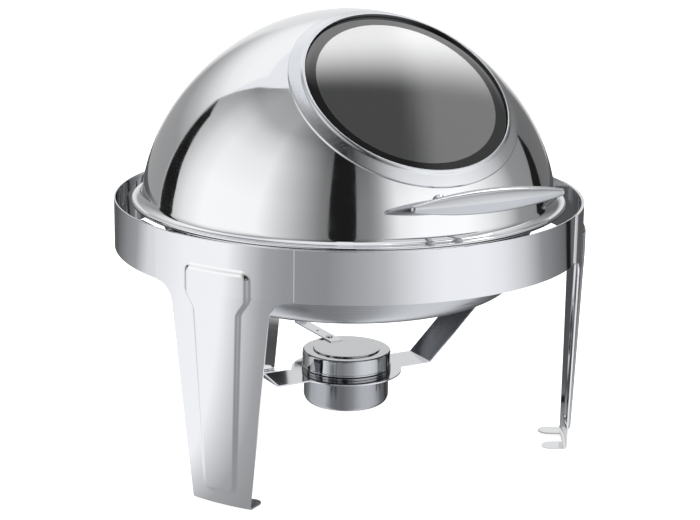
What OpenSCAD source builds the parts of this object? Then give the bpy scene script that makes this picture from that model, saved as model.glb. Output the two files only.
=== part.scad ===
// Round roll top chafer: a banded stand on three pressed legs, a water pan and a food pan,
// a domed lid that rolls back on two side pivots, and a fuel cup in a strap below the pans.
// Millimetres, +Z up, the front of the chafer faces -Y. Heights inside the modules are
// measured from the top edge of the band, and the whole model is lifted by band_top.

/* [Stand] */
// Height of the band's top edge above the table
band_top = 263.5; // [250:0.5:280]
// Outside radius of the band
band_r = 240; // [240:0.5:244]
// Height of the band
band_h = 51; // [44:1:54]
// Sheet thickness of the band
band_t = 1.5; // [1:0.1:2]
// Sheet thickness of the legs
leg_t = 1.5; // [1.2:0.1:2]
// Half angle that a leg's head covers on the band
leg_span = 19; // [17:0.5:21]
// Half width of a leg just under the band
leg_w_top = 54.5; // [48:0.5:58]
// Half width of a leg at the table
leg_w_foot = 32.5; // [28:0.5:36]
// How far a leg leans inwards from the band to the table
leg_lean = 7; // [4:0.5:10]
// Height of the raised panel on a leg
panel_rise = 2.5; // [1.5:0.1:3.5]

/* [Pans] */
// Outside radius of the water pan
pan_r = 184.5; // [180:0.5:184.5]
// Depth of the water pan below the band's top edge
pan_depth = 95; // [85:1:100]
// Depth of the food pan below its rim
food_depth = 64; // [50:1:68]

/* [Lid] */
// Widest radius of the dome's full oval
dome_a = 212.8; // [210:0.1:213.5]
// Height of the dome's full oval above its centre
dome_b = 200.3; // [192:0.1:206]
// How far the oval's centre lies below the band's top edge
dome_drop = 10.5; // [8:0.1:12]
// Sheet thickness of the dome
dome_t = 1.2; // [0.8:0.1:1.6]
// Radius of the window glass
glass_r = 103.2; // [98:0.1:105]
// Tilt of the window's axis above the table
window_tilt = 52.7; // [51:0.1:54]
// Length of the handle
handle_l = 166; // [150:1:176]
// Largest radius of the handle
handle_r = 11.5; // [9:0.5:12]
// Distance of the handle's axis in front of the band's axis
handle_out = 262; // [250:1:266]

/* [Burner] */
// Depth of the strap's plate below the band's top edge
strap_z = 188.3; // [180:0.1:190]
// Width of the strap
strap_w = 41.6; // [36:0.2:42]
// Outside radius of the fuel cup
cup_r = 44.5; // [42:0.5:44.5]
// Depth of the cup's floor below the strap's plate
cup_below = 35.7; // [30:0.1:38]

/* [Hidden] */
$fn = 96;
steel = "gainsboro";
satin = "silver";
eps = 0.01;

// The box around the whole object is centred on the origin, front to back.
ring_y = (handle_out + handle_r - band_r - leg_t - panel_rise) / 2;

// Legs
leg_head_w = band_r * sin(leg_span);
leg_fillet = 20;
foot_r = band_r - leg_lean;
foot_bend = 4;
foot_tab = 25;
foot_tab_w = 19;
panel_top = -25;
panel_foot = band_top - 13;
panel_head_w = 37;
panel_neck_w = 27.5;
panel_end_w = 19;
panel_wall = 1.5;

// Strap: plate, rising arms and uprights
strap_t = 1.5;
plate_half = 91;
upright_x = 189.75;
arm_top = -93;
upright_top = -2;
disc_r = 58;
disc_hole = 46;

// Pivots of the lid, just behind the band's axis and below its top edge
pivot_back = 17;
pivot_z = -14;
stud_r = 4;
fit = 0.05;
ear_r = 12;
ear_x = 192.2;
ear_t = 2;
ear_top = 26;

// Hoop and pan rims
hoop_in = 185;
hoop_out = 189;
hoop_top = -14;
hoop_h = 16;
bead_r = 2.2;
rim_bead_x = hoop_in + 1.2;
rest_gap = 0.05;
bead_z = hoop_top + rest_gap + bead_r;
pan_t = 1;
pan_corner = 40;
food_r = 180.5;
food_t = 0.8;
food_corner = 12;
food_taper = 4;
food_bead = 1.6;
food_rim = bead_z + bead_r + rest_gap;

// Side brackets
bracket_front = 36;
bracket_back = 16;
web_in = 222.9;
web_top = -7.5;
web_low = -34;
bracket_foot = -60;
tab_foot = -44;
rivet_r = 2;
bracket_rivets = [[-12, -48], [4, -48]];
hoop_rivet = [-10, -22];

// Exponents of the dome's oval: 2 and 2 would be an ellipse
dome_m = 1.84;
dome_n = 1.97;

// Lid edge and window
cove_r = 8.8;
cove_start = 187.4;
cove_z = 7.1;
rim_r = 2.4;
window_z = -23.7;
seat = 180.5;
glass_t = 4;
seal_in = 95;
seal_t = 4.5;
trim_r = 117.5;
trim_rise = 1.4;
lip_w = 2.4;
lip_rise = 0.7;
sleeve_in = glass_r + 0.3;
sleeve_out = sleeve_in + lip_w;

// Handle
handle_z = 47.2;
tip_r = 3.6;
post_x = 18;
post_r = 4;
post_drop = 11;
post_foot = sqrt(pow(dome_at(handle_z - post_drop), 2) - post_x * post_x);
post_tilt = atan(post_drop / (handle_out - post_foot));
post_l = norm([post_drop, handle_out - post_foot]);
collar_r = 6.5;
collar_h = 4;
screw_r = 2.4;
screw_depth = 16;
screw_head_r = 6;
screw_head_gap = 2.5;
screw_head_h = 3;

// Fuel cup
cup_t = 0.8;
cup_corner = 9;
cup_top = -171;
cup_bead = 2.5;
cap_r = 46.8;
cap_top = -167;
flame_r = 24;
cover_r = 35;
cover_z = cap_top + 0.1;
arm_w = 14;
arm_front = -22;
arm_back = -104;
rivet_back = 38;

function arc(cx, cy, r, a0, a1, n = 12) =
    [for (i = [0 : n]) let (a = a0 + (a1 - a0) * i / n) [cx + r * cos(a), cy + r * sin(a)]];
// Radius of the dome at height z: (radius / a) ^ n + (height / b) ^ m = 1
function dome_at(z, grow = 0) =
    (dome_a + grow) * pow(1 - pow((z + dome_drop) / (dome_b + grow), dome_m), 1 / dome_n);
// The dome's oval from the crown down to height z
function dome_line(z, grow = 0, n = 40) =
    let (low = asin(pow((z + dome_drop) / (dome_b + grow), dome_m / 2)))
    [for (i = [0 : n]) let (a = 90 - (90 - low) * i / n)
        [i == 0 ? 0 : (dome_a + grow) * pow(cos(a), 2 / dome_n),
            (dome_b + grow) * pow(sin(a), 2 / dome_m) - dome_drop]];
function mirrored(half) = concat(half, [for (i = [len(half) - 1 : -1 : 0]) [-half[i].x, half[i].y]]);

module at_band() { translate([0, ring_y, band_top]) children(); }
module both_sides() { for (s = [0, 1]) mirror([s, 0, 0]) children(); }
// Along the window's axis, from its point on the band's axis
module on_window() { translate([0, 0, window_z]) rotate([90 - window_tilt, 0, 0]) children(); }
// Along each handle post, from the handle's axis towards the dome
module on_posts() {
    both_sides() translate([post_x, -handle_out, handle_z]) rotate([-90 - post_tilt, 0, 0]) children();
}
module tube(r_out, r_in, z0, z1) {
    translate([0, 0, z0]) difference() {
        cylinder(r = r_out, h = z1 - z0);
        translate([0, 0, -1]) cylinder(r = r_in, h = z1 - z0 + 2);
    }
}
module rolled_edge(x, z, r) { rotate_extrude() translate([x, z]) circle(r = r, $fn = 32); }
// A block along X whose outline in the Y-Z plane is drawn by the children
module along_x(x0, x1) {
    translate([x0, 0, 0]) rotate([90, 0, 90]) linear_extrude(x1 - x0) children();
}
module rod_x(x0, x1, y, z, r) { translate([x0, y, z]) rotate([0, 90, 0]) cylinder(r = r, h = x1 - x0); }

module support_band() {
    color(steel) at_band() tube(band_r, band_r - band_t, -band_h, 0);
}

// Upright section of a leg: on the band, down the leg and in along the foot.
// lift moves the outside face outwards and skin is the thickness.
module leg_section(lift, skin) {
    out_top = band_r + lift + skin;
    out_foot = foot_r + lift + skin;
    rotate_extrude() polygon(concat(
        [[band_r + lift, 0], [out_top, 0], [out_top, -band_h]],
        arc(out_foot - foot_bend, foot_bend - band_top, foot_bend, 0, -90, 6),
        [[foot_r - foot_tab, -band_top], [foot_r - foot_tab, -band_top + skin]],
        arc(out_foot - foot_bend, foot_bend - band_top, foot_bend - skin, -90, 0, 6),
        [[band_r + lift, -band_h]]));
}

// The leg's outline seen from outside
function leg_half() = concat(
    [[leg_head_w, 0], [leg_head_w, -band_h]],
    arc(leg_w_top + leg_fillet, -band_h - leg_fillet, leg_fillet, 90, 180, 8),
    [[leg_w_foot, -band_top]]);

// The raised panel's outline, drawn smaller by inset
function panel_half(inset) =
    let (head = panel_head_w - inset, neck = panel_neck_w - inset, foot = panel_end_w - inset,
        top = panel_top - inset, low = -panel_foot + inset, r = 8 - inset / 2)
    concat([[0, top]], arc(head - r, top - r, r, 90, 0, 6),
        arc(head - 10, -band_h, 10, 0, -38, 4),
        arc(neck + 10, -band_h - 20, 10, 142, 180, 4),
        arc(foot - r, low + r, r, 0, -90, 6), [[0, low]]);

// The outline carried outwards from from_r, past the leg's outside face
module outwards(outline, from_r) {
    translate([0, -from_r, 0]) rotate([90, 0, 0]) linear_extrude(band_r + 20 - from_r) polygon(outline);
}

// Two rounded tabs turned inwards along the table
module foot_cut() {
    tab_end = -foot_r + foot_tab;
    round_r = foot_tab_w / 2;
    translate([0, 0, -band_top - 1]) linear_extrude(foot_bend + 2) difference() {
        translate([-60, -foot_r + foot_bend]) square([120, foot_tab]);
        for (s = [-1, 1]) translate([s * (leg_w_foot - round_r), 0]) {
            translate([0, tab_end - round_r]) circle(r = round_r);
            translate([-round_r, -foot_r]) square([foot_tab_w, foot_tab - round_r]);
        }
    }
}

module leg_plate(turn) {
    color(steel) at_band() rotate([0, 0, turn]) difference() {
        union() {
            intersection() {
                leg_section(0, leg_t);
                outwards(mirrored(leg_half()), foot_r - foot_tab - 5);
            }
            intersection() {
                leg_section(0, leg_t + panel_rise);
                outwards(mirrored(panel_half(0)), foot_r - 10);
            }
        }
        intersection() {
            leg_section(-1, panel_rise + 1);
            outwards(mirrored(panel_half(panel_wall)), foot_r - 10);
        }
        foot_cut();
    }
}

// Z-shaped bracket from the band's inside in under the lid's edge to the strap's upright
module side_bracket() {
    color(satin) at_band() difference() {
        intersection() {
            translate([0, -bracket_front, -70]) cube([260, bracket_front + bracket_back, 70]);
            cylinder(r = band_r - band_t, h = 200, center = true);
            union() {
                tube(band_r - band_t, band_r - band_t - strap_t, tab_foot, web_top);
                translate([web_in, -50, web_top - strap_t]) cube([30, 100, strap_t]);
                translate([web_in, -50, web_low]) cube([strap_t, 100, web_top - web_low]);
                translate([upright_x + strap_t / 2, -50, web_low])
                    cube([web_in - upright_x, 100, strap_t]);
                translate([upright_x + strap_t / 2, -strap_w / 2, bracket_foot])
                    cube([strap_t, strap_w / 2 + bracket_back, web_low - bracket_foot + strap_t]);
            }
        }
        for (p = bracket_rivets) rod_x(upright_x - 5, upright_x + 5, p.x, p.y, rivet_r);
    }
}
module side_bracket_left() { mirror([1, 0, 0]) side_bracket(); }
module side_bracket_right() { side_bracket(); }

// Rivets that hold the brackets and the hoop to the uprights
module stand_rivets() {
    head_r = 4;
    head_h = 1.3;
    inside = upright_x - strap_t / 2;
    color(satin) at_band() both_sides() {
        for (p = bracket_rivets) {
            rod_x(inside - head_h, inside + 2 * strap_t + head_h, p.x, p.y, rivet_r);
            rod_x(inside - head_h, inside, p.x, p.y, head_r);
            rod_x(inside + 2 * strap_t, inside + 2 * strap_t + head_h, p.x, p.y, head_r);
        }
        rod_x(hoop_in + 0.5, inside + strap_t + head_h, hoop_rivet.x, hoop_rivet.y, rivet_r);
        rod_x(inside + strap_t, inside + strap_t + head_h, hoop_rivet.x, hoop_rivet.y, head_r);
    }
}

module pan_hoop() {
    color(satin) at_band() difference() {
        tube(hoop_out, hoop_in, hoop_top - hoop_h, hoop_top);
        both_sides() rod_x(hoop_in - 5, hoop_out + 5, hoop_rivet.x, hoop_rivet.y, rivet_r);
    }
}

// One bent strip: plate with a holed disc, two rising arms and two uprights
module burner_strap() {
    bend = atan((arm_top + strap_z) / (upright_x - plate_half));
    half = strap_t / 2;
    step1 = half * tan(bend / 2);
    step2 = half * tan((90 - bend) / 2);
    mid = -strap_z - half;
    color("dimgray") at_band() difference() {
        union() {
            both_sides() translate([0, strap_w / 2, 0]) rotate([90, 0, 0]) linear_extrude(strap_w)
                polygon([[-eps, mid - half], [plate_half + step1, mid - half],
                    [upright_x + half, arm_top - step2], [upright_x + half, upright_top],
                    [upright_x - half, upright_top], [upright_x - half, arm_top + step2],
                    [plate_half - step1, mid + half], [-eps, mid + half]]);
            translate([0, 0, mid - half]) cylinder(r = disc_r, h = strap_t);
            both_sides() along_x(upright_x - half, upright_x + half) {
                translate([pivot_back, pivot_z]) circle(r = ear_r);
                translate([0, pivot_z - ear_r]) square([pivot_back, 2 * ear_r]);
            }
        }
        translate([0, 0, mid - 5]) cylinder(r = disc_hole, h = 10);
        both_sides() {
            rod_x(upright_x - 5, upright_x + 5, pivot_back, pivot_z, stud_r);
            for (p = concat(bracket_rivets, [hoop_rivet]))
                rod_x(upright_x - 5, upright_x + 5, p.x, p.y, rivet_r);
        }
    }
}

module water_pan() {
    wall = pan_r - pan_t;
    floor_z = -pan_depth;
    color("darkgray") at_band() union() {
        rotate_extrude() polygon(concat([[pan_r, bead_z]],
            arc(pan_r - pan_corner, floor_z + pan_corner, pan_corner, 0, -90),
            [[0, floor_z], [0, floor_z + pan_t]],
            arc(pan_r - pan_corner, floor_z + pan_corner, pan_corner - pan_t, -90, 0),
            [[wall, bead_z]]));
        rolled_edge(rim_bead_x, bead_z, bead_r);
    }
}

module food_pan() {
    floor_z = food_rim - food_depth;
    wall = food_r - food_t;
    foot_x = food_r - food_taper - food_corner;
    color(steel) at_band() union() {
        rotate_extrude() polygon(concat([[rim_bead_x, food_rim], [food_r, food_rim]],
            arc(foot_x, floor_z + food_corner, food_corner, 0, -90),
            [[0, floor_z], [0, floor_z + food_t]],
            arc(foot_x, floor_z + food_corner, food_corner - food_t, -90, 0),
            [[wall, food_rim + food_t], [rim_bead_x, food_rim + food_t]]));
        rolled_edge(rim_bead_x, food_rim + food_bead, food_bead);
    }
}

// Shouldered studs, fixed in the uprights, that the lid's ears turn on
module pivot_studs() {
    color(satin) at_band() both_sides() {
        rod_x(upright_x - strap_t / 2, ear_x + ear_t + 0.3, pivot_back, pivot_z, stud_r);
        rod_x(ear_x + ear_t + 0.2, ear_x + ear_t + 3, pivot_back, pivot_z, 7);
    }
}

module pivot_washers() {
    color("whitesmoke") at_band() both_sides() difference() {
        rod_x(upright_x + strap_t / 2, ear_x - 0.2, pivot_back, pivot_z, 9);
        rod_x(upright_x - 1, ear_x + 1, pivot_back, pivot_z, stud_r);
    }
}

// Everything under the dome's outside face down to the cove, grown by an even skin
module dome_core(grow = 0) {
    rotate_extrude() polygon(concat(dome_line(cove_z, grow), [[0, cove_z]]));
}

// Pressed dome: an oval down to the cove, a turned-out edge and a rolled rim
module lid_dome() {
    foot_x = dome_at(cove_z);
    cx = foot_x - cove_r * cos(cove_start);
    cz = cove_z - cove_r * sin(cove_start);
    outside = concat(dome_line(cove_z), arc(cx, cz, cove_r, cove_start, 270, 8));
    inside = concat(dome_line(cove_z, -dome_t), arc(cx, cz, cove_r + dome_t, cove_start, 270, 8));
    color(steel) at_band() difference() {
        union() {
            rotate_extrude() polygon(concat(outside, [for (i = [len(inside) - 1 : -1 : 0]) inside[i]]));
            rolled_edge(cx, cz - cove_r - rim_r, rim_r);
        }
        on_window() cylinder(r = sleeve_out, h = 300);
        on_posts() cylinder(r = screw_r, h = post_l + 10);
    }
}

module window_seal() {
    color("black") at_band() on_window() tube(sleeve_in, seal_in, seat - seal_t, seat);
}

module window_glass() {
    color("dimgray", 0.6) at_band() on_window() translate([0, 0, seat])
        cylinder(r = glass_r, h = glass_t);
}

// Trim that follows the dome, on a sleeve that passes through the dome and holds the glass
module window_trim() {
    color(satin) at_band() union() {
        difference() {
            intersection() {
                on_window() tube(trim_r, sleeve_out - eps, 100, 230);
                dome_core(trim_rise);
            }
            dome_core();
        }
        intersection() {
            on_window() tube(sleeve_out, sleeve_in, seat - seal_t, 230);
            dome_core(trim_rise + lip_rise);
        }
    }
}

// Ear inside the dome's side: a plate down to the pivot and two webs out to the dome
module hinge_ear() {
    color(satin) at_band() difference() {
        union() {
            along_x(ear_x, ear_x + ear_t) {
                translate([pivot_back, pivot_z]) circle(r = ear_r);
                translate([pivot_back - ear_r, pivot_z]) square([2 * ear_r, ear_top - pivot_z]);
            }
            intersection() {
                dome_core(-dome_t);
                translate([ear_x, pivot_back - ear_r, ear_top - ear_t]) cube([40, 2 * ear_r, ear_t]);
            }
        }
        rod_x(ear_x - 5, ear_x + 10, pivot_back, pivot_z, stud_r + fit);
    }
}
module hinge_ear_left() { mirror([1, 0, 0]) hinge_ear(); }
module hinge_ear_right() { hinge_ear(); }

// Torpedo handle: one long shallow arc between two round tips, turned about its own axis
module handle_bar() {
    half = handle_l / 2 - tip_r;
    drop = handle_r - tip_r;
    big = (half * half + drop * drop) / (2 * drop);
    bulge = [for (i = [-13 : 13]) let (x = half * i / 14) [sqrt(big * big - x * x) - big + handle_r, x]];
    translate([0, -handle_out, handle_z]) rotate([0, 90, 0]) rotate_extrude()
        polygon(concat(arc(0, -half, tip_r, -90, 0, 5), bulge, arc(0, half, tip_r, 0, 90, 5)));
}
module lid_handle() { color(steel) at_band() handle_bar(); }

// Posts that stand square to the dome and rise to the handle
module handle_posts() {
    color(satin) at_band() difference() {
        on_posts() {
            cylinder(r = post_r, h = post_l + 10);
            translate([0, 0, post_l - collar_h]) cylinder(r = collar_r, h = collar_h + 10);
        }
        handle_bar();
        dome_core();
        on_posts() translate([0, 0, post_l - screw_depth]) cylinder(r = screw_r, h = screw_depth + 20);
    }
}

module handle_screws() {
    color(satin) at_band() on_posts() translate([0, 0, post_l]) {
        translate([0, 0, -screw_depth])
            cylinder(r = screw_r, h = screw_depth + screw_head_gap + screw_head_h);
        translate([0, 0, screw_head_gap]) cylinder(r = screw_head_r, h = screw_head_h);
    }
}

module fuel_cup() {
    low = -strap_z - cup_below;
    in_r = cup_r - cup_t;
    color(steel) at_band() rotate_extrude() polygon(concat(
        [[0, low + cup_t], [0, low]],
        arc(cup_r - cup_corner, low + cup_corner, cup_corner, -90, 0),
        [[cup_r, -strap_z], [cup_r + cup_bead, -strap_z], [cup_r + cup_bead, -strap_z + cup_bead],
            [cup_r, -strap_z + cup_bead + 1], [cup_r, cup_top], [in_r, cup_top]],
        arc(cup_r - cup_corner, low + cup_corner, cup_corner - cup_t, 0, -90)));
}

module cup_cap() {
    skirt_low = -strap_z + cup_bead + 1.2;
    color(steel) at_band() difference() {
        rotate_extrude() polygon(concat([[cup_r, skirt_low], [cap_r, skirt_low]],
            arc(cap_r - 2, cap_top - 2, 2, 0, 90, 5),
            [[flame_r, cap_top], [flame_r, cap_top - 1.2], [cup_r, cap_top - 1.2]]));
        translate([0, rivet_back, cap_top - 5]) cylinder(r = 2, h = 10);
    }
}

module cover_rivet() {
    color(satin) at_band() translate([0, rivet_back, 0]) {
        translate([0, 0, cap_top - 2.4]) cylinder(r = 2, h = 6);
        translate([0, 0, cap_top - 2.4]) cylinder(r = 3.5, h = 1.2);
        translate([0, 0, cap_top + 2.6]) cylinder(r = 3.5, h = 1);
    }
}

// Disc that closes the flame opening and swings aside on the rivet
module cup_cover() {
    color(steel) at_band() rotate_extrude()
        polygon([[0, cover_z], [cover_r, cover_z], [cover_r, cover_z + 0.8],
            [cover_r - 0.5, cover_z + 1.2], [0, cover_z + 1.2]]);
}

// Strip that carries the disc, with a hole and a turned-up finger end
module cover_arm() {
    low = cover_z + 1.2;
    color(satin) at_band() difference() {
        union() {
            translate([-arm_w / 2, -arm_front, low]) cube([arm_w, arm_front - arm_back, 1.2]);
            translate([-arm_w / 2, -arm_back - 1.2, low]) cube([arm_w, 1.2, 6]);
        }
        translate([0, rivet_back, low - 1]) cylinder(r = 2 + fit, h = 4);
        translate([0, 63, low - 1]) cylinder(r = 2.2, h = 4);
    }
}

support_band();
leg_plate(-60);  // leg_plate_left
leg_plate(60);  // leg_plate_right
leg_plate(180);  // leg_plate_back
side_bracket_left();
side_bracket_right();
stand_rivets();
pan_hoop();
burner_strap();
water_pan();
food_pan();
pivot_studs();
pivot_washers();
lid_dome();
window_seal();
window_glass();
window_trim();
hinge_ear_left();
hinge_ear_right();
lid_handle();
handle_posts();
handle_screws();
fuel_cup();
cup_cap();
cover_rivet();
cup_cover();
cover_arm();
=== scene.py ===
import bpy
import numpy as np
from mathutils import Matrix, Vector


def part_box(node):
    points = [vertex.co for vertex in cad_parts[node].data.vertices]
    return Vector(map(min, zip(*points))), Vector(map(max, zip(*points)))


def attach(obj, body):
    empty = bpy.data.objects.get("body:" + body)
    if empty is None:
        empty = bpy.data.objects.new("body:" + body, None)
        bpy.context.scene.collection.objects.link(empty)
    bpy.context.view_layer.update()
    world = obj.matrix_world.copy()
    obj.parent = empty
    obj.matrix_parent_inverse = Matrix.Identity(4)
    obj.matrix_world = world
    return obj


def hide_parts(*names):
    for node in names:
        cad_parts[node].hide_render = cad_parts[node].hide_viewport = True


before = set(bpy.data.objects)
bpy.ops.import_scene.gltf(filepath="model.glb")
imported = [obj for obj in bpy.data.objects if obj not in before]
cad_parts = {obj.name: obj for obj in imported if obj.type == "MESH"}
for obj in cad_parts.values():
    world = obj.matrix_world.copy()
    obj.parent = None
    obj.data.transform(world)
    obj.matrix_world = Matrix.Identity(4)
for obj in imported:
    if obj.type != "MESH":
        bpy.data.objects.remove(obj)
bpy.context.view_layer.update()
print("frame loaded:", len(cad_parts), "nodes")

mm = 0.001
bandLow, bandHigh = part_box("support_band")
# The band's own axis and top edge are where every height and radius below is measured from.
axisY = (bandLow.y + bandHigh.y) / 2
rimZ = bandHigh.z


# Numbers, nodes and meshes

def linearColour(hexText):
    # sRGB to linear: c / 12.92 below 0.04045, else ((c + 0.055) / 1.055) ** 2.4
    c = np.array([int(hexText[i:i + 2], 16) for i in (1, 3, 5)]) / 255
    lin = np.where(c <= 0.04045, c / 12.92, ((c + 0.055) / 1.055) ** 2.4)
    return (*lin.tolist(), 1.0)


def addNode(tree, kind, inputs=None, **settings):
    # One node with its settings; an input given as a socket is linked, anything else is its value.
    node = tree.nodes.new(kind)
    for key, value in settings.items():
        setattr(node, key, value)
    for key, value in (inputs or {}).items():
        if isinstance(value, bpy.types.NodeSocket):
            tree.links.new(value, node.inputs[key])
        else:
            node.inputs[key].default_value = value
    return node


def smoothStep(x):
    x = np.clip(x, 0, 1)
    return x * x * (3 - 2 * x)


def roundMin(a, b, r):
    # Smaller of two distances to an edge, with the corner between the edges rounded to radius r
    corner = r - np.hypot(np.maximum(r - a, 0), np.maximum(r - b, 0))
    return np.where((a < r) & (b < r), corner, np.minimum(a, b))


def arcPoints(cx, cz, r, startDeg, endDeg, count):
    a = np.radians(np.linspace(startDeg, endDeg, count))
    return np.stack([cx + r * np.cos(a), cz + r * np.sin(a)], 1)


def roundedPath(points, radii, step=6):
    # Straight runs joined by arcs: each corner is swapped for an arc of its radius, tangent to both runs.
    points = [np.array(p, float) for p in points]
    out = [points[0]]
    for before, corner, after, r in zip(points, points[1:], points[2:], radii):
        a = (before - corner) / np.linalg.norm(before - corner)
        b = (after - corner) / np.linalg.norm(after - corner)
        half = np.arccos(np.clip(a @ b, -1, 1)) / 2
        if r <= 0 or half > np.radians(89.5):
            out.append(corner)
            continue
        cut = r / np.tan(half)
        centre = corner + (a + b) / np.linalg.norm(a + b) * r / np.sin(half)
        p, q = corner + a * cut - centre, corner + b * cut - centre
        turn = np.arctan2(p[0] * q[1] - p[1] * q[0], p @ q)
        count = max(3, int(abs(np.degrees(turn)) / step) + 1)
        for t in np.linspace(0, turn, count):
            c, s = np.cos(t), np.sin(t)
            out.append(centre + np.array([c * p[0] - s * p[1], s * p[0] + c * p[1]]))
    out.append(points[-1])
    return np.array(out)


def densify(path, spacing):
    # Extra points on long straight runs, so that no run is longer than spacing
    out = [path[0]]
    for a, b in zip(path, path[1:]):
        count = max(1, int(np.ceil(np.linalg.norm(b - a) / spacing)))
        out.extend(a + (b - a) * k / count for k in range(1, count + 1))
    return np.array(out)


def makePiece(name, points, groups, material, body, replaced, sharp=35):
    # One mesh on one body. Points are in millimetres; edges that turn more than sharp degrees stay crisp.
    mesh = bpy.data.meshes.new(name)
    mesh.from_pydata(toPart(points).tolist(), [], orient(points, groups))
    mesh.validate()
    mesh.update()
    mesh.shade_smooth()
    mesh.set_sharp_from_angle(angle=np.radians(sharp))
    mesh.materials.append(material)
    piece = bpy.data.objects.new(name, mesh)
    bpy.context.scene.collection.objects.link(piece)
    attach(piece, body)
    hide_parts(*replaced)
    return piece


def gridFaces(rows, cols, closeRows=False, closeCols=False, keep=None):
    # Quads of a rows x cols grid of points, wrapped round where asked; keep masks the quads
    r = np.arange(rows if closeRows else rows - 1)
    c = np.arange(cols if closeCols else cols - 1)
    r, c = np.meshgrid(r, c, indexing="ij")
    rn, cn = (r + 1) % rows, (c + 1) % cols
    quads = np.stack([r * cols + c, r * cols + cn, rn * cols + cn, rn * cols + c], -1)
    return quads[keep] if keep is not None else quads.reshape(-1, 4)


def toPart(points):
    # From millimetres about the band's axis and top edge to metres in the part's frame
    return np.asarray(points) * mm + np.array([0, axisY, rimZ])


def fan(tip, start, count, turned=False):
    # Triangles from one tip to each edge of a ring of count points whose first index is start
    here = start + np.arange(count)
    after = start + (np.arange(count) + 1) % count
    pair = (after, here) if turned else (here, after)
    return np.column_stack([np.full(count, tip), *pair])


def cappedGrid(rows, cols):
    # Grid wrapped round its columns with a fan at each end; the two tips are the last two points
    tip = rows * cols
    return [gridFaces(rows, cols, False, True), fan(tip, 0, cols, True), fan(tip + 1, tip - cols, cols)]


def latheShape(profile, count):
    # Each profile point (radius, height) is carried round the axis: (r sin a, -r cos a, z). A profile that
    # starts and ends on the axis is capped with fans; any other is a ring closed on itself.
    a = np.linspace(0, 2 * np.pi, count, endpoint=False)
    capped = profile[0, 0] < 1e-6
    ring = profile[1:-1] if capped else profile
    r, z = ring[:, :1], ring[:, 1:]
    points = np.stack([r * np.sin(a), -r * np.cos(a), z + 0 * a], -1).reshape(-1, 3)
    if not capped:
        return points, [gridFaces(len(ring), count, True, True)]
    tips = [[0, 0, profile[0, 1]], [0, 0, profile[-1, 1]]]
    return np.vstack([points, tips]), cappedGrid(len(ring), count)


def lathe(name, profile, count, material, body, replaced, place=None):
    points, groups = latheShape(profile, count)
    points = place(points) if place else points
    return makePiece(name, points, groups, material, body, replaced)


def orient(points, groups):
    # Each group is an array of faces with the same number of corners. They point outwards when the closed
    # skin's signed volume is above zero; if not, every face is turned.
    total = 0.0
    for faces in groups:
        for k in range(1, faces.shape[1] - 1):
            a, b, c = points[faces[:, 0]], points[faces[:, k]], points[faces[:, k + 1]]
            total += np.einsum("ij,ij->i", a, np.cross(b, c)).sum()
    step = 1 if total > 0 else -1
    return [face for faces in groups for face in faces[:, ::step].tolist()]


# Finishes

def newMaterial(name, tint, metallic=0.0):
    material = bpy.data.materials.new(name)
    material.use_nodes = True
    tree = material.node_tree
    bsdf = tree.nodes["Principled BSDF"]
    bsdf.inputs["Base Color"].default_value = linearColour(tint)
    bsdf.inputs["Metallic"].default_value = metallic
    return material, tree, bsdf, addNode(tree, "ShaderNodeTexCoord").outputs["Object"]


def addNoise(tree, place, scale, detail, roughness=0.5):
    inputs = {"Vector": place, "Scale": scale, "Detail": detail, "Roughness": roughness}
    return addNode(tree, "ShaderNodeTexNoise", inputs).outputs["Fac"]


def addMath(tree, operation, *values):
    return addNode(tree, "ShaderNodeMath", dict(enumerate(values)), operation=operation).outputs[0]


def remap(tree, value, fromSpan, toSpan):
    # Straight-line change of range, held at both ends
    inputs = {"Value": value, "From Min": fromSpan[0], "From Max": fromSpan[1],
              "To Min": toSpan[0], "To Max": toSpan[1]}
    return addNode(tree, "ShaderNodeMapRange", inputs).outputs["Result"]


def addBump(tree, bsdf, height, strength, distance):
    bump = addNode(tree, "ShaderNodeBump", {"Height": height, "Strength": strength, "Distance": distance})
    tree.links.new(bump.outputs["Normal"], bsdf.inputs["Normal"])


def polishedSteel(name, tint="#D6D7D9", rough=(0.035, 0.09), ripple=0.04):
    # Mirror-polished stainless sheet: a clear reflection that softens where cloths and fingers have been,
    # and a faint long ripple left by rolling, about 60 mm from crest to crest.
    material, tree, bsdf, place = newMaterial(name, tint, 1.0)
    smudge, hairDepth = 0.022, 0.02
    cloth = addNoise(tree, place, 1 / smudge, 5.0, 0.6)
    hairs = addNoise(tree, place, 900.0, 2.0)
    gloss = remap(tree, cloth, (0.35, 0.75), rough)
    tree.links.new(addMath(tree, "MULTIPLY_ADD", hairs, hairDepth, gloss), bsdf.inputs["Roughness"])
    addBump(tree, bsdf, addNoise(tree, place, 16.0, 1.0), ripple, 0.002)
    return material


def satinSteel(name, tint="#C3C5C8", rough=(0.22, 0.34)):
    # Satin stainless: belt-brushed lines along X, drawn about 1.2 mm apart so that they show
    material, tree, bsdf, place = newMaterial(name, tint, 1.0)
    lines = addNode(tree, "ShaderNodeMapping", {"Vector": place, "Scale": (25.0, 830.0, 830.0)})
    brush = addNoise(tree, lines.outputs["Vector"], 1.0, 3.0)
    tree.links.new(remap(tree, brush, (0.3, 0.7), rough), bsdf.inputs["Roughness"])
    addBump(tree, bsdf, brush, 0.35, 0.00006)
    return material


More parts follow.
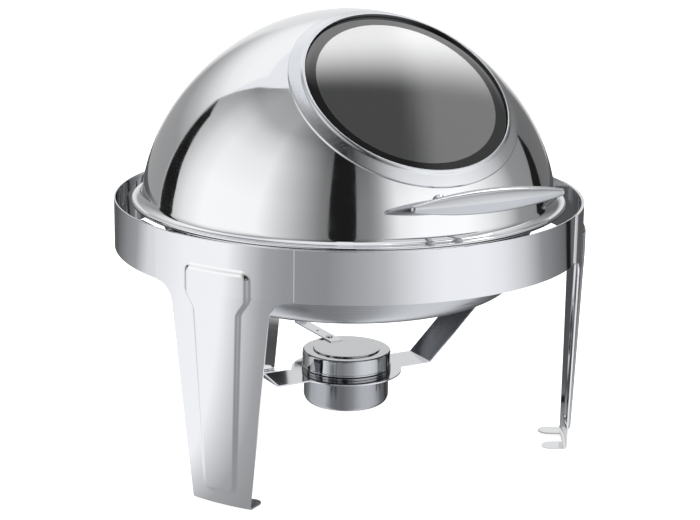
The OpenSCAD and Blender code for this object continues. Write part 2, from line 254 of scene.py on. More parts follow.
def turnedSteel(name, tint, rough, rings=0.5):
    # Spun and polished stainless: fine rings round the axis, about 1.4 mm apart, under the polish.
    # They are noise looked up at (radius, height), where radius is (x * x + y * y) to the power 0.5.
    material, tree, bsdf, place = newMaterial(name, tint, 1.0)
    centred = addNode(tree, "ShaderNodeMapping", {"Vector": place, "Location": (0, -axisY, 0)})
    apart = addNode(tree, "ShaderNodeSeparateXYZ", {"Vector": centred.outputs["Vector"]}).outputs
    across = addMath(tree, "MULTIPLY", apart["X"], apart["X"])
    square = addMath(tree, "MULTIPLY_ADD", apart["Y"], apart["Y"], across)
    radius = addMath(tree, "POWER", square, 0.5)
    spot = addNode(tree, "ShaderNodeCombineXYZ", {"X": radius, "Y": apart["Z"]})
    lines = addNoise(tree, spot.outputs[0], 700.0, 3.0)
    tree.links.new(remap(tree, lines, (0.3, 0.7), rough), bsdf.inputs["Roughness"])
    addBump(tree, bsdf, lines, rings, 0.00003)
    return material


def temperedGlass(name, tint, through, coat):
    # Tempered glass: a dark body under a clear reflection, with a light haze of fingerprints.
    # The coat's index is set above glass's own, so that the dark pane mirrors the studio strongly.
    material, tree, bsdf, place = newMaterial(name, tint)
    haze = addNoise(tree, place, 22.0, 6.0, 0.65)
    tree.links.new(remap(tree, haze, (0.4, 0.8), (0.01, 0.06)), bsdf.inputs["Roughness"])
    for key, value in (("Transmission Weight", through), ("IOR", 1.52), ("Coat Weight", coat),
                       ("Coat IOR", 2.6), ("Coat Roughness", 0.015)):
        bsdf.inputs[key].default_value = value
    return material


def moulded(name, tint, rough):
    # Moulded silicone or nylon: matt, with a very fine grain
    material, tree, bsdf, place = newMaterial(name, tint)
    grainSize = 0.0004
    grain = addNoise(tree, place, 1 / grainSize, 2.0)
    tree.links.new(remap(tree, grain, (0, 1), rough), bsdf.inputs["Roughness"])
    addBump(tree, bsdf, grain, 0.1, 0.0001)
    return material


domeSteel = polishedSteel("mirrorPolishedDomeSteel")
bandSteel = polishedSteel("mirrorPolishedBandSteel", rough=(0.03, 0.08), ripple=0.05)
legSteel = polishedSteel("mirrorPolishedLegSteel", tint="#DADBDC", rough=(0.05, 0.11), ripple=0.05)
panSteel = turnedSteel("deepDrawnSatinSteel", tint="#B4B6B9", rough=(0.2, 0.32), rings=0.3)
cupSteel = turnedSteel("spunPolishedSteel", tint="#9C9EA1", rough=(0.08, 0.16))
capSteel = turnedSteel("spunPolishedCapSteel", tint="#B6B8BA", rough=(0.03, 0.09), rings=0.3)
trimSteel = satinSteel("satinTrimSteel", tint="#CDCFD2", rough=(0.14, 0.24))
handleSteel = satinSteel("satinHandleSteel", tint="#B4B6B9", rough=(0.13, 0.2))
bracketSteel = satinSteel("satinBracketSteel")
stripSteel = polishedSteel("brightRolledStripSteel", tint="#CACBCE", rough=(0.06, 0.12), ripple=0.03)
smokedGlass = temperedGlass("smokedTemperedGlass", "#3A3D42", 0.85, 1.0)
borderGlass = temperedGlass("blackPrintedGlassBorder", "#060607", 0.0, 0.0)
siliconeBlack = moulded("blackSiliconeSeal", "#101112", (0.35, 0.5))
nylonWhite = moulded("naturalNylonWasher", "#D8D6CE", (0.4, 0.5))
print("finishes made")


# Band and legs

band = {"radius": 240.0, "height": 51.0, "sheet": 1.5, "edge": 0.5, "columns": 720}


def makeBand(p):
    # Thin upright strip with rounded edges, carried round the axis
    inner, outer, low = p["radius"] - p["sheet"], p["radius"], -p["height"]
    corners = [(outer, low / 2), (outer, 0), (inner, 0), (inner, low), (outer, low), (outer, low / 2)]
    path = densify(roundedPath(corners, [p["edge"]] * 4), 3.0)[:-1]
    return lathe("supportBand", path, p["columns"], bandSteel, "stand", ["support_band"])


makeBand(band)

leg = {"headSpan": 19.0, "topHalf": 54.5, "footHalf": 32.5, "fillet": 20.0, "lean": 7.0, "sheet": 1.5,
       "bend": 4.0, "tabLength": 25.0, "tabWidth": 19.0, "rise": 2.5, "slope": 4.5, "panelTop": -25.0,
       "panelLow": -250.5, "panelHead": 37.0, "panelNeck": 27.5, "panelEnd": 19.0, "panelCorner": 9.0,
       "neckHigh": -51.0, "neckLow": -70.0, "step": 1.15}


def legSection(p, height):
    # Outside face of the leg, top to toe: (radius, height) with the small bend under the band and the
    # foot bend
    top, foot = band["radius"] + p["sheet"], band["radius"] + p["sheet"] - p["lean"]
    corners = [(top, 0), (top, -band["height"]), (foot, height), (foot - p["bend"] - 1, height)]
    return roundedPath(corners, [60.0, p["bend"]])


def panelDepth(p, across, z):
    # Distance inside the panel's outline, then a smooth ramp: rise * smoothStep(distance / slope)
    shoulder = smoothStep((z - p["neckLow"]) / (p["neckHigh"] - p["neckLow"]))
    taper = (z - p["panelLow"]) / (p["neckLow"] - p["panelLow"])
    half = p["panelEnd"] + (p["panelNeck"] - p["panelEnd"]) * np.clip(taper, 0, 1)
    half = half + (p["panelHead"] - p["panelNeck"]) * shoulder
    side, top, low = half - np.abs(across), p["panelTop"] - z, z - p["panelLow"]
    inside = roundMin(roundMin(side, top, p["panelCorner"]), low, p["panelCorner"])
    return p["rise"] * smoothStep(inside / p["slope"])


def makeLeg(name, node, turn, p):
    floorZ = -rimZ / mm
    footR = band["radius"] - p["lean"]
    headHalf = band["radius"] * np.sin(np.radians(p["headSpan"]))
    # Half width down the leg: head, fillet as an arc, then a straight taper
    arc = np.radians(np.linspace(84, 0, 18))
    filletZ = -band["height"] - p["fillet"] + p["fillet"] * np.sin(arc)
    filletHalf = p["topHalf"] + p["fillet"] * (1 - np.cos(arc))
    zTable = np.concatenate([[1.0, -band["height"] + 0.35], filletZ, [floorZ - 1]])
    halfTable = np.concatenate([[headHalf, headHalf], filletHalf, [p["footHalf"]]])
    section = legSection(p, floorZ)
    extra = np.stack([np.interp(filletZ, section[::-1, 1], section[::-1, 0]), filletZ], 1)
    rows = np.vstack([densify(section, p["step"]), extra])
    # Rows run down the plate by height, and past the foot's bend they run inwards by radius
    key = np.where(rows[:, 0] < footR, floorZ - band["radius"] + rows[:, 0], rows[:, 1])
    rows = rows[np.argsort(-key, kind="stable")]
    rows = rows[np.append(True, np.linalg.norm(np.diff(rows, axis=0), axis=1) > 0.08)]
    plateRows = len(rows)
    # The tabs carry on inwards along the floor
    tabR = np.linspace(rows[-1, 0], footR - p["tabLength"], 26)[1:]
    rows = np.vstack([rows, np.stack([tabR, np.full(len(tabR), floorZ)], 1)])
    gap = p["footHalf"] - p["tabWidth"]
    cut = gap / p["footHalf"]
    cols = 2 * int(headHalf / p["step"])
    wing = np.linspace(cut, 1, int(cols * (1 - cut) / 2))
    u = np.concatenate([-wing[::-1], np.linspace(-cut, cut, int(cols * cut))[1:-1], wing])
    inTab = np.abs(u) >= cut - 1e-9
    across = u[None, :] * np.interp(-rows[:, 1], -zTable, halfTable)[:, None]
    # Round tab ends: half width sqrt(r^2 - d^2) where d runs past the end circle's centre
    tabHalf = p["tabWidth"] / 2
    past = np.clip(footR - p["tabLength"] + tabHalf - rows[plateRows:, 0], 0, tabHalf - 0.05)
    narrowing = np.sqrt(tabHalf ** 2 - past ** 2)[:, None] / tabHalf
    middle = np.sign(u) * (gap + tabHalf)
    tabAcross = middle + (u * p["footHalf"] - middle) * narrowing
    across[plateRows:] = np.where(inTab, tabAcross, across[plateRows:])
    z = rows[:, 1:] + 0 * across
    outerR = rows[:, :1] + panelDepth(p, across, z)
    outer = np.stack([across, -np.sqrt(outerR ** 2 - across ** 2), z], -1)
    # The inside face lies one sheet thickness back along the section's normal
    tangent = np.gradient(rows, axis=0)
    tangent /= np.linalg.norm(tangent, axis=1)[:, None]
    innerR = outerR + p["sheet"] * tangent[:, 1:]
    innerZ = z - p["sheet"] * tangent[:, :1]
    inner = np.stack([across, -np.sqrt(innerR ** 2 - across ** 2), innerZ], -1)
    keep = np.ones((len(rows) - 1, len(u) - 1), bool)
    keep[plateRows - 1:, :] = inTab[:-1] & inTab[1:]
    front = gridFaces(len(rows), len(u), keep=keep)
    back = front[:, ::-1] + across.size
    # Edge strip: every edge used by one front quad only is joined to its twin on the inside face
    edges = np.concatenate([front[:, [i, (i + 1) % 4]] for i in range(4)])
    _, first, counts = np.unique(np.sort(edges, axis=1), axis=0, return_index=True, return_counts=True)
    rim = edges[first[counts == 1]]
    strip = np.column_stack([rim[:, ::-1], rim + across.size])
    points = np.vstack([outer.reshape(-1, 3), inner.reshape(-1, 3)])
    used, faces = np.unique(np.vstack([front, back, strip]), return_inverse=True)
    a = np.radians(turn)
    spin = np.array([[np.cos(a), -np.sin(a), 0], [np.sin(a), np.cos(a), 0], [0, 0, 1]])
    piece = makePiece(name, points[used] @ spin.T, [faces.reshape(-1, 4)], legSteel, "stand",
                      [node], 50)
    bevel = piece.modifiers.new("softEdge", "BEVEL")
    bevel.width, bevel.segments, bevel.limit_method = 0.0003, 2, "ANGLE"
    bevel.angle_limit = np.radians(60)
    return piece


for legName, legNode, legTurn in (("legLeft", "leg_plate_left", -60), ("legRight", "leg_plate_right", 60),
                                  ("legBack", "leg_plate_back", 180)):
    makeLeg(legName, legNode, legTurn, leg)
print("stand made")


# Pans

pans = {"waterRadius": 184.5, "waterDepth": 95.0, "corner": 40.0, "waterSheet": 1.0, "rimZ": -11.75,
        "bead": 2.2, "beadX": 186.2, "foodRadius": 180.5, "foodTaper": 4.0, "foodLow": -73.5,
        "foodSheet": 0.8, "foodCorner": 12.0, "foodRim": -9.5, "foodBead": 1.6, "columns": 360}


def makePans(p):
    # Drawn bowl: wall, round bottom corner, flat base, then back up one sheet inside; the rim is a rolled
    # bead
    w, low, t = p["waterRadius"], -p["waterDepth"], p["waterSheet"]
    outside = roundedPath([(w, p["rimZ"] - 1), (w, low), (0, low)], [p["corner"]], 3)
    inside = roundedPath([(0, low + t), (w - t, low + t), (w - t, p["rimZ"])], [p["corner"] - t], 3)
    bead = arcPoints(p["beadX"], p["rimZ"], p["bead"], 170, -140, 20)
    profile = np.vstack([densify(outside[::-1], 8), bead[::-1], densify(inside[::-1], 8)])
    lathe("waterPan", profile, p["columns"], panSteel, "water_pan", ["water_pan"])
    f, foot, s = p["foodRadius"], p["foodRadius"] - p["foodTaper"], p["foodSheet"]
    rim, low = p["foodRim"], p["foodLow"]
    outside = roundedPath([(p["beadX"], rim), (f, rim), (foot, low), (0, low)], [1.5, p["foodCorner"]])
    inside = roundedPath([(0, low + s), (foot - s, low + s), (f - s, rim + s), (p["beadX"], rim + s)],
                         [p["foodCorner"] - s, 1.5 + s])
    bead = arcPoints(p["beadX"], rim + p["foodBead"], p["foodBead"], -90, 150, 16)
    profile = np.vstack([densify(outside[::-1], 8), bead, densify(inside[::-1], 8)])
    lathe("foodPan", profile, p["columns"], panSteel, "food_pan", ["food_pan"])


makePans(pans)
print("pans made")


# Lid

lid = {"a": 212.8, "b": 200.3, "drop": 10.5, "m": 1.84, "n": 1.97, "sheet": 1.2, "coveTop": 7.1,
       "cove": 8.8, "coveStart": 187.4, "rim": 2.4, "columns": 384, "rows": 96, "windowZ": -23.7,
       "tilt": 52.7, "seat": 180.5, "glassRadius": 103.2, "glass": 4.0, "border": 91.6, "seal": 4.5,
       "trim": 117.5, "trimRise": 1.4, "lip": 2.4, "lipRise": 0.7, "play": 0.3}
tilt = np.radians(lid["tilt"])
windowOut = np.array([0, -np.cos(tilt), np.sin(tilt)])
windowUp = np.array([0, np.sin(tilt), np.cos(tilt)])
windowSide = np.array([1.0, 0, 0])
windowBase = np.array([0, 0, lid["windowZ"]])


def domeHit(origin, direction, grow):
    # Where rays leave the dome's oval (radius / a)^n + ((z + drop) / b)^m = 1, found by halving a span
    near, far = np.full(direction.shape[:-1], 60.0), np.full(direction.shape[:-1], 400.0)
    for _ in range(34):
        middle = (near + far) / 2
        point = origin + direction * middle[..., None]
        level = (np.hypot(point[..., 0], point[..., 1]) / (lid["a"] + grow)) ** lid["n"]
        level += (np.maximum(point[..., 2] + lid["drop"], 0) / (lid["b"] + grow)) ** lid["m"]
        near, far = np.where(level > 1, near, middle), np.where(level > 1, middle, far)
    return origin + direction * ((near + far) / 2)[..., None]


def domeRadius(z, grow=0.0):
    # Radius of the oval at a height: a * (1 - ((z + drop) / b)^m)^(1 / n)
    high = (z + lid["drop"]) / (lid["b"] + grow)
    return (lid["a"] + grow) * (1 - high ** lid["m"]) ** (1 / lid["n"])


def acrossWindow(angle):
    # Unit direction in the window's plane; angle 0 is to the right and a quarter turn is up
    return np.cos(angle)[..., None] * windowSide + np.sin(angle)[..., None] * windowUp


def windowPoint(angle, radius, height):
    # Point at a radius and angle about the window's axis, at a height along it
    return windowBase + (height + 0 * angle)[..., None] * windowOut + radius * acrossWindow(angle)


def domeOverWindow(angle, radius, grow):
    # Foot of the cylinder of that radius about the window's axis on the dome's skin
    return domeHit(windowPoint(angle, radius, 0.0), windowOut + 0 * angle[..., None], grow)


def rimCrossing(angle, grow):
    # On the circle where the dome meets the cove, the point in each half plane about the window's axis.
    # With P = base + x out + y across, P.z fixes x, and P.x^2 + P.y^2 = R^2 is a quadratic in y.
    height = lid["coveTop"]
    across = acrossWindow(angle)
    x0 = (height - windowBase[2]) / windowOut[2]
    slopeX = -across[:, 2] / windowOut[2]
    py0, py1 = x0 * windowOut[1], slopeX * windowOut[1] + across[:, 1]
    qa, qb, qc = across[:, 0] ** 2 + py1 ** 2, py0 * py1, py0 ** 2 - domeRadius(height, grow) ** 2
    y = (-qb + np.sqrt(qb * qb - qa * qc)) / qa
    return windowBase + (x0 + slopeX * y)[:, None] * windowOut + y[:, None] * across


def domeSheet(angle, grow, rows):
    # Rays from the window's base point fan from the hole's edge to the cove's circle, in each half plane
    across = acrossWindow(angle)
    hole = domeOverWindow(angle, lid["glassRadius"] + lid["play"] + lid["lip"], grow) - windowBase
    rim = rimCrossing(angle, grow) - windowBase
    first = np.arctan2((hole * across).sum(1), hole @ windowOut)
    last = np.arctan2((rim * across).sum(1), rim @ windowOut)
    beta = first + (last - first) * np.linspace(0, 1, rows)[:, None]
    direction = np.cos(beta)[..., None] * windowOut + np.sin(beta)[..., None] * across
    return domeHit(windowBase, direction, grow)


def makeDome(p):
    # Outside skin, cove, rolled rim, inside cove and inside skin on the same columns: one closed surface
    angle = np.linspace(0, 2 * np.pi, p["columns"], endpoint=False)
    outside, inside = domeSheet(angle, 0.0, p["rows"]), domeSheet(angle, -p["sheet"], p["rows"])
    footR = np.hypot(*outside[-1, 0, :2])
    cx = footR - p["cove"] * np.cos(np.radians(p["coveStart"]))
    cz = p["coveTop"] - p["cove"] * np.sin(np.radians(p["coveStart"]))
    coveOut = arcPoints(cx, cz, p["cove"], p["coveStart"], 270, 16)[1:]
    roll = arcPoints(cx, cz - p["cove"] - p["rim"], p["rim"], 90, -190, 28)[1:]
    coveIn = arcPoints(cx, cz, p["cove"] + p["sheet"], 262, p["coveStart"], 14)[:-1]
    profile = np.vstack([coveOut, roll, coveIn])
    aroundX, aroundY = outside[-1, :, 0] / footR, outside[-1, :, 1] / footR
    r, z = profile[:, :1], profile[:, 1:]
    edge = np.stack([r * aroundX, r * aroundY, z + 0 * aroundX], -1)
    grid = np.concatenate([outside, edge, inside[::-1]])
    faces = gridFaces(len(grid), p["columns"], True, True)
    return makePiece("lidDome", grid.reshape(-1, 3), [faces], domeSteel, "lid",
                     ["lid_dome"], 50)


makeDome(lid)


def ontoWindow(points):
    # A shape turned about +Z is laid on the window's axis
    return windowBase + points @ np.stack([windowSide, windowUp, windowOut])


def makeGlass(p):
    # Flat pane with softly ground edges; the outer ring of its skin carries the black print
    r, low, top = p["glassRadius"], p["seat"], p["seat"] + p["glass"]
    skin = roundedPath([(0, top), (p["border"], top), (r, top), (r, low), (0, low)], [0, 1.2, 0.8])
    piece = lathe("windowGlass", densify(skin, 6), 360, smokedGlass, "lid",
                  ["window_glass"], ontoWindow)
    piece.data.materials.append(borderGlass)
    centres = (np.array([f.center for f in piece.data.polygons]) - toPart(windowBase)) / mm
    radius = np.linalg.norm(centres - (centres @ windowOut)[:, None] * windowOut, axis=1)
    piece.data.polygons.foreach_set("material_index", (radius > p["border"]).astype(np.int32))
    return piece


makeGlass(lid)


def makeTrim(p):
    # Section from the sleeve's foot, up round the lip and out along the dome to a soft edge, then back under.
    # Each point is (radius, height above the dome's skin); the sleeve's foot is a height on the axis.
    angle = np.linspace(0, 2 * np.pi, 540, endpoint=False)
    inner, outer = p["glassRadius"] + p["play"], p["trim"]
    wall, lipTop, foot = inner + p["lip"], p["trimRise"] + p["lipRise"], p["seat"] - p["seal"]
    lipRound, edgeRound, stepRun = 0.8, 0.6, 2.2
    quarter = np.linspace(0, np.pi / 2, 7)
    rise, fall = 1 - np.cos(quarter), 1 - np.sin(quarter)
    down = np.linspace(0, 1, 8)
    lipArc = np.stack([inner + lipRound * rise, lipTop - lipRound * fall], 1)
    step = np.stack([wall - 0.5 + stepRun * down, lipTop - p["lipRise"] * smoothStep(down)], 1)
    flat = np.stack([np.linspace(wall + 2.4, outer - edgeRound, 9), np.full(9, p["trimRise"])], 1)
    edgeArc = np.stack([outer - edgeRound * fall, p["trimRise"] - edgeRound * rise], 1)[1:]
    under = np.array([[outer, -0.2], [wall + 3, -0.3], [wall, -0.3]])
    rows = [windowPoint(angle, inner, foot)]
    rows += [domeOverWindow(angle, *point) for point in np.vstack([lipArc, step, flat, edgeArc, under])]
    rows.append(windowPoint(angle, wall, foot))
    faces = gridFaces(len(rows), len(angle), True, True)
    return makePiece("windowTrim", np.vstack(rows), [faces], trimSteel, "lid",
                     ["window_trim"], 60)


makeTrim(lid)

handle = {"length": 166.0, "radius": 11.5, "tip": 3.6, "out": 262.0, "z": 47.2, "depth": 0.86,
          "ridge": 0.08, "ridgeWidth": 0.35, "fade": 4.0, "postX": 18.0, "postDrop": 11.0,
          "postRadius": 4.0, "collar": 6.5}


def makeHandle(p):
    # Torpedo: half height follows a long arc between round tips. The section is a flattened ellipse with a
    # soft front ridge, and both fade to a plain circle at the tips.
    half = p["length"] / 2 - p["tip"]
    drop = p["radius"] - p["tip"]
    arcRadius = (half * half + drop * drop) / (2 * drop)
    tipAngle = np.linspace(0, np.pi / 2, 14)[1:-1]
    x = np.concatenate([-half - p["tip"] * np.cos(tipAngle), np.linspace(-half, half, 90),
                        half + p["tip"] * np.sin(tipAngle)])
    body = np.sqrt(arcRadius ** 2 - np.clip(np.abs(x), 0, half) ** 2) - arcRadius + p["radius"]
    beyond = np.clip(np.abs(x) - half, 0, p["tip"])
    high = np.where(np.abs(x) <= half, body, np.sqrt(p["tip"] ** 2 - beyond ** 2))[:, None]
    a = np.linspace(0, 2 * np.pi, 96, endpoint=False)
    fade = smoothStep((high - p["tip"]) / p["fade"])
    ridge = 1 + p["ridge"] * fade * np.exp(-((a - np.pi) / p["ridgeWidth"]) ** 2)
    y = high * (1 - (1 - p["depth"]) * fade) * np.cos(a) * ridge
    grid = np.stack([x[:, None] + 0 * a, y - p["out"], high * np.sin(a) + p["z"]], -1)
    tips = [[side * p["length"] / 2, -p["out"], p["z"]] for side in (-1, 1)]
    makePiece("lidHandle", np.vstack([grid.reshape(-1, 3), tips]), cappedGrid(*grid.shape[:2]), handleSteel,
              "lid", ["lid_handle"], 60)


makeHandle(handle)


def makePosts(p):
    # Turned posts, square to the dome: a coved collar, then a plain shank into the handle's back.
    # Heights in the section run from the dome's skin outwards.
    foot = np.sqrt(domeRadius(p["z"] - p["postDrop"]) ** 2 - p["postX"] ** 2)
    run = np.array([0, foot - p["out"], p["postDrop"]])
    length = np.linalg.norm(run)
    along = run / length
    r, c = p["postRadius"], p["collar"]
    profile = roundedPath([(0, -1.1), (c, -1.1), (c, 2.0), (r, 4.4), (r, length - 2), (0, length - 2)],
                          [0.4, 0.8, 2.5, 0.6])
    local, groups = latheShape(profile, 64)
    turned = local @ np.stack([[1.0, 0, 0], np.cross([1.0, 0, 0], along), along])
    points = [turned + [side * p["postX"], -foot, p["z"] - p["postDrop"]] for side in (-1, 1)]
    faces = [group + k * len(local) for k in (0, 1) for group in groups]
    makePiece("handlePosts", np.vstack(points), faces, trimSteel, "lid",
              ["handle_posts"], 40)


makePosts(handle)
print("lid made")


# Burner

burner = {"plate": -188.3, "cup": 44.5, "cupLow": -224.0, "cupTop": -171.0, "cupCorner": 9.0,
          "cupSheet": 0.8, "bead": 2.5, "cap": 46.8, "capTop": -167.0, "flame": 24.0, "cover": 35.0}


def makeCup(p):
    # Spun cup: base, round corner, wall, resting bead on the strap's disc, neck, and the inside back down
    c, low, t, rest = p["cup"], p["cupLow"], p["cupSheet"], p["plate"]
    bead, corner = p["bead"], p["cupCorner"]
    corners = [(0, low), (c, low), (c, rest - 0.4), (c + bead, rest + 0.02), (c + bead, rest + bead),
               (c, rest + bead + 1), (c, p["cupTop"]), (c - t, p["cupTop"]), (c - t, low + t), (0, low + t)]
    path = densify(roundedPath(corners, [corner, 0.3, 0.6, 0.9, 0.8, 0.3, 0.3, corner - t]), 3)
    lathe("fuelCup", path, 240, cupSteel, "fuel_cup", ["fuel_cup"])
    # Pressed cap: skirt with a rolled foot, round shoulder, a shallow step and the flame opening
    k, top, skirt, flame = p["cap"], p["capTop"], rest + bead + 1.2, p["flame"]
    corners = [(c + 0.1, skirt), (k, skirt), (k, skirt + 1.6), (k - 0.5, skirt + 2.2), (k - 0.5, top),
               (k - 4.6, top), (flame, top - 0.02), (flame, top - 1.2), (c + 0.1, top - 1.2),
               (c + 0.1, skirt)]
    path = densify(roundedPath(corners, [0.5, 0.4, 0.4, 1.9, 0.2, 0.4, 0.4, 0.6]), 3)[:-1]
    lathe("cupCap", path, 240, capSteel, "fuel_cup", ["cup_cap"])
    # Flat cover disc, a tenth of a millimetre above the cap
    z = top + 0.1
    corners = [(0, z), (p["cover"], z), (p["cover"], z + 1.0), (p["cover"] - 0.7, z + 1.2), (0, z + 1.2)]
    path = densify(roundedPath(corners, [0.3, 0.3, 0.2]), 4)
    lathe("cupCover", path, 240, capSteel, "cup_cover", ["cup_cover"])


makeCup(burner)


# CAD nodes whose shape is right keep it and take a finish
finishes = {"side_bracket_left": bracketSteel, "side_bracket_right": bracketSteel,
            "stand_rivets": bracketSteel, "pan_hoop": bracketSteel, "burner_strap": stripSteel,
            "pivot_studs": bracketSteel, "pivot_washers": nylonWhite, "window_seal": siliconeBlack,
            "hinge_ear_left": bracketSteel, "hinge_ear_right": bracketSteel,
            "handle_screws": bracketSteel, "cover_rivet": bracketSteel, "cover_arm": trimSteel}
for nodeName, finish in finishes.items():
    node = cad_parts[nodeName]
    for index in range(len(node.material_slots)):
        node.material_slots[index].material = finish
print("burner made")


# Camera

view = {"azimuth": -29.31, "distance": 1943.2, "height": 442.9, "aimSide": 2.38, "aimHeight": -70.9,
        "roll": 0.79, "lens": 99.46}


def stageDirection(azimuth, elevation=0.0):
    # Unit direction; azimuth 0 runs from the object to the camera and is positive to the camera's right
    a, e = np.radians(azimuth)[..., None], np.radians(elevation)[..., None]
    base = np.radians(view["azimuth"])
    toCamera = np.array([np.sin(base), -np.cos(base), 0])
    right = np.array([np.cos(base), np.sin(base), 0])
    return np.cos(e) * (np.cos(a) * toCamera + np.sin(a) * right) + np.sin(e) * np.array([0, 0, 1.0])


def makeCamera(p):
    place = stageDirection(0) * p["distance"] + np.array([0, 0, p["height"]])
    aim = stageDirection(90) * p["aimSide"] + np.array([0, 0, p["aimHeight"]])
    forward = (aim - place) / np.linalg.norm(aim - place)
    right = np.cross(forward, [0, 0, 1])
    right /= np.linalg.norm(right)
    up = np.cross(right, forward)
    roll = np.radians(p["roll"])
    right, up = np.cos(roll) * right + np.sin(roll) * up, np.cos(roll) * up - np.sin(roll) * right
    data = bpy.data.cameras.new("camera")
    data.lens, data.sensor_width = p["lens"], 36.0
    data.clip_start, data.clip_end = 0.05, 60
    camera = bpy.data.objects.new("camera", data)
    bpy.context.scene.collection.objects.link(camera)
    matrix = np.eye(4)
    matrix[:3, 0], matrix[:3, 1], matrix[:3, 2], matrix[:3, 3] = right, up, -forward, toPart(place)
    camera.matrix_world = Matrix(matrix.tolist())
    bpy.context.scene.camera = camera
    bpy.context.scene.view_settings.view_transform = "Standard"


makeCamera(view)


# Floor and studio

def makeStage(name, points, groups, material, layerName, values):
    # Studio mesh whose brightness at each vertex is kept in a named layer
    mesh = bpy.data.meshes.new(name)
    mesh.from_pydata(points.tolist(), [], [face for group in groups for face in group.tolist()])
    layer = mesh.attributes.new(layerName, "FLOAT", "POINT")
    layer.data.foreach_set("value", np.asarray(values, np.float32).reshape(-1))
    mesh.materials.append(material)
    piece = bpy.data.objects.new(name, mesh)
    bpy.context.scene.collection.objects.link(piece)
    return piece


def studioCard(name, azimuths, elevations, distance, tone):
    # Patch of a sphere round the object, in degrees, seen only by reflections and as light.
    # Its upper edge and its tone may each be a number or a function of the direction.
    lowE, highE = elevations
    a = np.linspace(*azimuths, 61)
    top = highE(a) if callable(highE) else highE
    e = lowE + (top - lowE) * np.linspace(0, 1, 41)[:, None] + 0 * a
    a = a + 0 * e
    glow = np.maximum(tone(a, e) if callable(tone) else tone + 0 * a, 0)
    material = bpy.data.materials.new(name)
    material.use_nodes = True
    tree = material.node_tree
    tree.nodes.clear()
    level = addNode(tree, "ShaderNodeAttribute", attribute_name="glow")
    light = addNode(tree, "ShaderNodeEmission", {"Strength": level.outputs["Fac"]})
    addNode(tree, "ShaderNodeOutputMaterial", {"Surface": light.outputs["Emission"]})
    points = toPart(stageDirection(a, e).reshape(-1, 3) * distance)
    card = makeStage(name, points, [gridFaces(*e.shape)], material, "glow", glow)
    card.visible_camera = False
    card.visible_shadow = False
    return card


studio = {"skyWhite": 1.0, "sky": 1.2, "floorLift": 0.7, "far": 2400, "high": 1500, "black": 0.015}


def fromAfar(a):
    # The steel shows a card about 4.8 * sin(a / 2) degrees further round than it stands, because it isn't
    # at infinity
    return a + 4.8 * np.sin(np.radians(a / 2))


def floorPaintedGlow(a):
    # Painted glow of the floor round the object, by azimuth, seen only in reflections: painted light and
    # shade, with a near-black strip, that the band and the legs show
    knots = [-180, -140, -123, -112, -101, -75, -53, -44, -35, -26, -9, 7, 16, 24, 33, 42, 60, 71, 84,
             97, 108, 119, 121, 125, 128, 140, 180]
    paintedGlowLevels = [0.1, 0.14, 0.37, 0.5, 1.05, 1.34, 1.36, 0.92, 0.55, 0.45, 0.41, 0.6, 0.73, 0.98, 1.22, 1.35,
             1.36, 1.25, 0.92, 0.43, 0.3, 0.2, 0.015, 0.015, 0.2, 0.12, 0.1]
    return np.interp(a, knots, paintedGlowLevels)


def leftTone(a, e):
    level = np.interp(fromAfar(a), [-126, -110, -100, -86, -50, -40, -28, -15, -10],
                      [0.55, 0.8, 1.12, 1.37, 1.34, 1.0, 0.66, 0.3, 0.25])
    return level * np.interp(e, [16, 35, 45, 52, 68], [1.0, 0.88, 0.68, 0.42, 0.35])


def rightTone(a, e):
    level = np.interp(fromAfar(a), [4, 12, 17, 27, 40, 66, 81, 94, 106, 130],
                      [0.28, 0.32, 0.5, 1.2, 1.4, 1.44, 1.2, 0.85, 0.4, 0.33])
    return level * np.interp(e, [20, 40, 66], [1.0, 0.75, 0.5])


def behindTone(a, e):
    # Grey low down beside the object, brighter higher up and straight behind
    side = np.where(a < 0, np.interp(e, [13, 22, 29, 36, 45], [0.42, 0.66, 0.95, 1.2, 1.3]),
                    np.interp(e, [14, 30, 45], [0.2, 0.5, 1.1]))
    straight = 0.98 * smoothStep((np.abs(a) - 148) / 18)
    return np.maximum(side, straight)


def makeFloor():
    # Pale matt floor, a disc far wider than the view. Reflections see instead a painted glow whose strength
    # follows the azimuth, kept per vertex: painted light and shade for the steel to mirror.
    material, tree, bsdf, place = newMaterial("paleFloorWithPaintedGlow", "#F4F4F5")
    shades = {"Factor": addNoise(tree, place, 3.0, 2.0), "A": linearColour("#F4F4F5"),
              "B": linearColour("#F8F8F8")}
    shade = addNode(tree, "ShaderNodeMix", shades, data_type="RGBA")
    tree.links.new(shade.outputs["Result"], bsdf.inputs["Base Color"])
    bsdf.inputs["Roughness"].default_value = 0.9
    bsdf.inputs["Emission Color"].default_value = linearColour("#FFFFFF")
    bsdf.inputs["Emission Strength"].default_value = studio["floorLift"]
    # Camera rays see the lit pale floor; every other ray sees the painted glow
    seen = addNode(tree, "ShaderNodeLightPath").outputs["Is Camera Ray"]
    tone = addNode(tree, "ShaderNodeAttribute", attribute_name="tone").outputs["Fac"]
    glow = addNode(tree, "ShaderNodeEmission", {"Color": linearColour("#F4F5F8"), "Strength": tone})
    parts = {0: seen, 1: glow.outputs["Emission"], 2: bsdf.outputs["BSDF"]}
    both = addNode(tree, "ShaderNodeMixShader", parts)
    tree.links.new(both.outputs["Shader"], tree.nodes["Material Output"].inputs["Surface"])
    a = np.linspace(-180, 180, 721)[:-1]
    r = np.array([0.02, 0.3, 1.0, 3.0, 15.0])
    points = np.vstack([(r[:, None, None] * stageDirection(a)).reshape(-1, 3), [[0, 0, 0]]])
    groups = [gridFaces(len(r), len(a), False, True)[:, ::-1], fan(len(r) * len(a), 0, len(a))]
    paintedGlowLevels = np.append(np.tile(floorPaintedGlow(a), len(r)), 0.5)
    floor = makeStage("floor", points, groups, material, "tone", paintedGlowLevels)
    floor.location = (0, axisY, 0)


makeFloor()


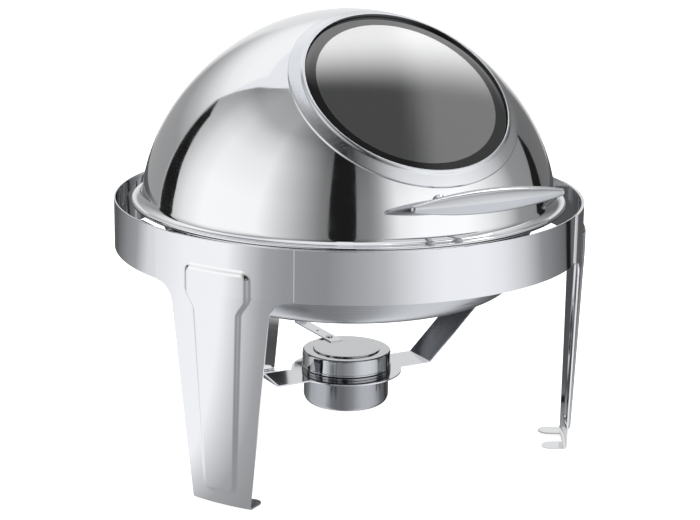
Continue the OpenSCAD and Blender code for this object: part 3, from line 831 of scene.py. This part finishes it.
def makeWorld(p):
    # The camera and everything else see the same pale sky at two strengths
    world = bpy.data.worlds.new("paleStudio")
    world.use_nodes = True
    tree = world.node_tree
    seen = addNode(tree, "ShaderNodeLightPath").outputs["Is Camera Ray"]
    background = tree.nodes["Background"]
    background.inputs["Color"].default_value = linearColour("#FBFCFF")
    level = remap(tree, seen, (0, 1), (p["sky"], p["skyWhite"]))
    tree.links.new(level, background.inputs["Strength"])
    bpy.context.scene.world = world


makeWorld(studio)


def leftTop(a):
    # The left box's top edge falls towards the back
    return np.interp(fromAfar(a), [-126, -120, -113, -95, -10], [31, 42, 52, 65, 68])


def rightTop(a):
    return np.interp(fromAfar(a), [4, 70, 100, 130], [66, 62, 50, 18])


def leftFlagTop(a):
    return np.interp(a, [-120, -113, -106], [34, 30, 4])


def rightFlagTop(a):
    return np.interp(a, [119, 126, 129.5], [2, 17, 9])


studioCard("softboxLeft", (-121, -10), (-8, leftTop), studio["far"], leftTone)
studioCard("softboxRight", (4.2, 126), (-8, rightTop), studio["far"], rightTone)
studioCard("gapBehindCamera", (-10.2, 4.3), (-8, 60), studio["far"] + 50, studio["black"])
studioCard("flagLeft", (-119.6, -106), (-8, leftFlagTop), studio["far"] - 50, studio["black"])
studioCard("flagRight", (119.5, 129.5), (-8, rightFlagTop), studio["far"] - 50, studio["black"])
studioCard("behindLeft", (-180, -118), (-8, 55), studio["far"] + 60, behindTone)
studioCard("behindRight", (122, 180), (-8, 55), studio["far"] + 60, behindTone)


board = {"azimuth": 130.7, "elevation": 61.6, "slant": 0.61, "dark": 0.22, "bright": 2.9, "before": 3.6,
         "width": 8.5, "low": 0.5, "lowTop": 60.0, "lowWidth": 2.6}


def highTone(a, e):
    # A slanting edge from dark to bright, and a faint lift low down: the flat glass shows only this small
    # patch. The pattern is laid out by direction as seen from the middle of the glass.
    glass = windowBase + (lid["seat"] + lid["glass"]) * windowOut
    seen = studio["high"] * stageDirection(a, e) - glass
    side, near = seen @ stageDirection(90), seen @ stageDirection(0)
    around = np.degrees(np.arctan2(side, near))
    lift = np.degrees(np.arctan2(seen[..., 2], np.hypot(side, near)))
    across = around - board["azimuth"] - board["slant"] * (lift - board["elevation"])
    bright = board["bright"] * smoothStep((across + board["before"]) / board["width"])
    return board["dark"] + bright + board["low"] * smoothStep((board["lowTop"] - lift) / board["lowWidth"])


studioCard("highBoard", (96, 146), (48, 78), studio["high"], highTone)
print("studio made")
